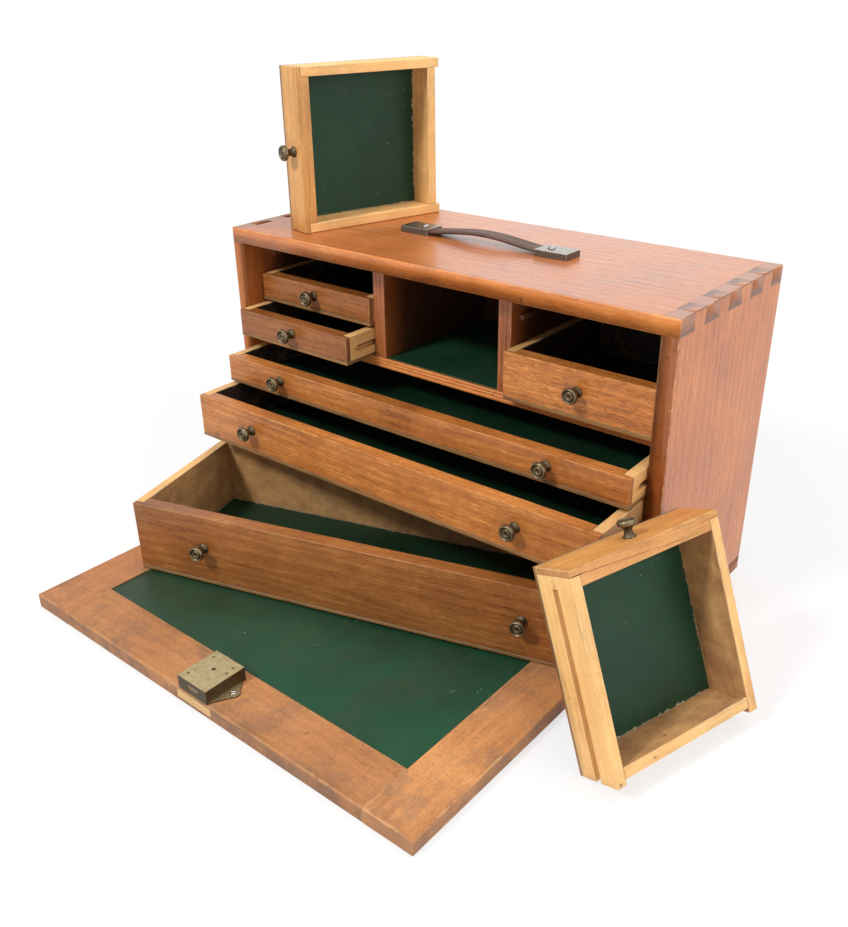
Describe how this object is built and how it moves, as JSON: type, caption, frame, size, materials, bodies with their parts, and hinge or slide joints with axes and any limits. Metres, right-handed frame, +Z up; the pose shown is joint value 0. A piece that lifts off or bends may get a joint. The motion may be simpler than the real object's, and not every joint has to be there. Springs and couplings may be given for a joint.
{
  "type": "engineer toolbox",
  "caption": "Oak engineer's chest standing open: drawers on side runners, a lift-off lined front panel with a lock, an open compartment and a strap handle.",
  "frame": {"origin": "middle of the case's underside, on the surface that it stands on", "axes": "+Z up, X along the case's width, the drawers open towards -Y"},
  "size_m": [0.5541, 0.436, 0.4213],
  "materials": {
    "oak_case": "worn satin oak varnish",
    "oak_front": "worn satin oak varnish",
    "pale_wood": "bare pale hardwood, handled",
    "green_lining": "dark green cloth, scuffed",
    "aged_bronze": "aged bronze, dull with bright edges",
    "lock_brass": "aged olive brass",
    "worn_steel": "worn plated steel",
    "brown_leather": "dark brown worn leather"
  },
  "bodies": {
    "case": {"case_top": "oak_case", "case_bottom": "oak_case", "case_left_side": "oak_case", "case_right_side": "oak_case", "case_back": "oak_case", "upper_rail_board": "oak_case", "lower_rail": "oak_case", "left_divider": "oak_case", "right_divider": "oak_case", "compartment_lining": "green_lining", "small_drawer_runners": "oak_case", "long_drawer_runners": "oak_case", "handle_strap": "brown_leather", "handle_end_plates": "worn_steel", "handle_studs": "worn_steel"},
    "panel": {"panel_stiles": "oak_case", "panel_rails": "oak_case", "panel_field": "green_lining", "lock_case": "lock_brass", "lock_key_pin": "lock_brass", "lock_screws": "lock_brass"},
    "lock_bolt": {"lock_bolt": "lock_brass"},
    "left_top_drawer": {"left_top_drawer_front": "oak_front", "left_top_drawer_walls": "pale_wood", "left_top_drawer_bottom": "green_lining", "left_top_drawer_knob": "aged_bronze"},
    "left_middle_drawer": {"left_middle_drawer_front": "oak_front", "left_middle_drawer_walls": "pale_wood", "left_middle_drawer_bottom": "green_lining", "left_middle_drawer_knob": "aged_bronze"},
    "left_lower_drawer": {"left_lower_drawer_front": "oak_front", "left_lower_drawer_walls": "pale_wood", "left_lower_drawer_bottom": "green_lining", "left_lower_drawer_knob": "aged_bronze"},
    "right_upper_drawer": {"right_upper_drawer_front": "oak_front", "right_upper_drawer_walls": "pale_wood", "right_upper_drawer_bottom": "green_lining", "right_upper_drawer_knob": "aged_bronze"},
    "right_lower_drawer": {"right_lower_drawer_front": "oak_front", "right_lower_drawer_walls": "pale_wood", "right_lower_drawer_bottom": "green_lining", "right_lower_drawer_knob": "aged_bronze"},
    "shallow_drawer": {"shallow_drawer_front": "oak_front", "shallow_drawer_walls": "pale_wood", "shallow_drawer_bottom": "green_lining", "shallow_drawer_knobs": "aged_bronze"},
    "medium_drawer": {"medium_drawer_front": "oak_front", "medium_drawer_walls": "pale_wood", "medium_drawer_bottom": "green_lining", "medium_drawer_knobs": "aged_bronze"},
    "deep_drawer": {"deep_drawer_front": "oak_front", "deep_drawer_walls": "pale_wood", "deep_drawer_bottom": "green_lining", "deep_drawer_knobs": "aged_bronze"}
  },
  "joints": [
    {"name": "left_middle_drawer_slide", "type": "slide", "parent": "case", "child": "left_middle_drawer", "axis": [0, -1, 0], "range_m": [-0.001, 0.1]},
    {"name": "left_lower_drawer_slide", "type": "slide", "parent": "case", "child": "left_lower_drawer", "axis": [0, -1, 0], "range_m": [-0.032, 0.07]},
    {"name": "right_lower_drawer_slide", "type": "slide", "parent": "case", "child": "right_lower_drawer", "axis": [0, -1, 0], "range_m": [-0.008, 0.075]},
    {"name": "shallow_drawer_slide", "type": "slide", "parent": "case", "child": "shallow_drawer", "axis": [0, -1, 0], "range_m": [-0.044, 0.04]},
    {"name": "medium_drawer_slide", "type": "slide", "parent": "case", "child": "medium_drawer", "axis": [0, -1, 0], "range_m": [-0.083, 0]},
    {"name": "deep_drawer_slide", "type": "slide", "parent": "case", "child": "deep_drawer", "axis": [0.2924, -0.9563, 0], "range_m": [-0.026, 0.024]},
    {"name": "left_top_drawer_lift", "type": "slide", "parent": "case", "child": "left_top_drawer", "axis": [0, 0, 1], "range_m": [0, 0.15]},
    {"name": "right_upper_drawer_lift", "type": "slide", "parent": "case", "child": "right_upper_drawer", "axis": [0, 0, 1], "range_m": [0, 0.2]},
    {"name": "panel_slide", "type": "slide", "parent": "case", "child": "panel", "axis": [0, -1, 0], "range_m": [0, 0.26]},
    {"name": "lock_bolt_slide", "type": "slide", "parent": "panel", "child": "lock_bolt", "axis": [0, -1, 0], "range_m": [0, 0.006]}
  ]
}
